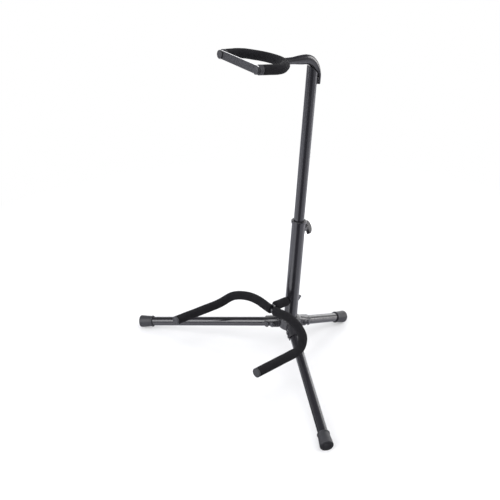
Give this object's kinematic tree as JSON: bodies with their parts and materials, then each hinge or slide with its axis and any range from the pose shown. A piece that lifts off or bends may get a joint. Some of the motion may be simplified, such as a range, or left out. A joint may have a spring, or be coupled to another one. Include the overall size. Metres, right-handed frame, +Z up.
{
  "type": "guitar stand",
  "caption": "Tubular floor stand for a guitar: folding legs, telescopic turning mast with a clamp knob, foam-padded cradle and neck yoke with a retaining strap.",
  "frame": {"origin": "centre of the bounding box at floor level", "axes": "+Z up, -Y the side the guitar faces and its cradle arms point, +X to the stand's left as it faces the viewer"},
  "size_m": [0.6062, 0.3906, 0.682],
  "materials": {
    "tube_paint": "satin black paint over steel tube",
    "bracket_paint": "satin black paint over pressed steel",
    "fastener_steel": "dark zinc plate",
    "foam": "matte closed-cell foam sleeve",
    "foot_rubber": "matte moulded rubber",
    "strap_rubber": "smooth matte rubber",
    "grey_plastic": "matte grey moulding",
    "black_plastic": "satin black moulding"
  },
  "bodies": {
    "base": {"lower_tube": "tube_paint", "collar_ring": "tube_paint", "guide_bush": "black_plastic", "clamp_boss": "bracket_paint", "hub_ring": "bracket_paint", "mast_foot_plug": "black_plastic", "leg_bracket_left": "bracket_paint", "leg_bracket_right": "bracket_paint", "leg_bracket_rear": "bracket_paint", "leg_pivot_bolt_left": "fastener_steel", "leg_pivot_bolt_right": "fastener_steel", "leg_pivot_bolt_rear": "fastener_steel", "leg_pivot_nut_left": "fastener_steel", "leg_pivot_nut_right": "fastener_steel", "leg_pivot_nut_rear": "fastener_steel", "cradle_stem": "tube_paint", "cradle_stud": "fastener_steel", "cradle_washer": "fastener_steel", "cradle_nut": "fastener_steel", "cradle_bar": "tube_paint", "cradle_foam_left": "foam", "cradle_foam_right": "foam", "stem_foam": "foam", "cradle_cap_left": "grey_plastic", "cradle_cap_right": "grey_plastic"},
    "leg_left": {"leg_tube_left": "tube_paint", "leg_stop_pin_left": "fastener_steel", "foot_left": "foot_rubber"},
    "leg_right": {"leg_tube_right": "tube_paint", "leg_stop_pin_right": "fastener_steel", "foot_right": "foot_rubber"},
    "leg_rear": {"leg_tube_rear": "tube_paint", "leg_stop_pin_rear": "fastener_steel", "foot_rear": "foot_rubber"},
    "screw": {"clamp_screw": "fastener_steel"},
    "knob": {"wing_knob": "black_plastic"},
    "glide": {"upper_glide_plug": "black_plastic"},
    "upper_mast": {"upper_tube": "tube_paint", "mast_top_plug": "black_plastic", "yoke_post": "tube_paint", "yoke_bar": "tube_paint", "yoke_foam": "foam", "yoke_cap_left": "grey_plastic", "yoke_cap_right": "grey_plastic", "strap_peg_left": "grey_plastic", "strap_peg_right": "grey_plastic"},
    "strap": {"neck_strap": "strap_rubber"}
  },
  "joints": [
    {"name": "leg_left_fold", "type": "hinge", "parent": "base", "child": "leg_left", "pos_m": [-0.02999, -0.00115, 0.06563], "axis": [0.5358, -0.8443, 0], "range_deg": [0, 80]},
    {"name": "leg_right_fold", "type": "hinge", "parent": "base", "child": "leg_right", "pos_m": [0.02999, -0.00115, 0.06563], "axis": [0.5358, 0.8443, 0], "range_deg": [0, 80]},
    {"name": "leg_rear_fold", "type": "hinge", "parent": "base", "child": "leg_rear", "pos_m": [0, 0.05192, 0.05985], "axis": [-1, 0, 0], "range_deg": [0, 70]},
    {"name": "mast_slide", "type": "slide", "parent": "base", "child": "glide", "axis": [0, 0.0804, 0.9968], "range_m": [0, 0.1]},
    {"name": "mast_turn", "type": "hinge", "parent": "glide", "child": "upper_mast", "pos_m": [0, 0.04199, 0.37066], "axis": [0, 0.0804, 0.9968], "continuous": true},
    {"name": "knob_turn", "type": "hinge", "parent": "screw", "child": "knob", "pos_m": [0, 0.0591, 0.28802], "axis": [0, 0.9968, -0.0804], "range_deg": [0, 720]},
    {"name": "clamp_screw_advance", "type": "slide", "parent": "base", "child": "screw", "axis": [0, 0.9968, -0.0804], "range_m": [0, 0.0025]},
    {"name": "strap_swing", "type": "hinge", "parent": "upper_mast", "child": "strap", "pos_m": [0.03642, -0.11448, 0.67303], "axis": [0.151, 0.9797, -0.1321], "range_deg": [0, 110]}
  ],
  "couplings": [
    {"joint": "knob_turn", "follows": "clamp_screw_advance", "rad_per_m": 5026.5}
  ]
}
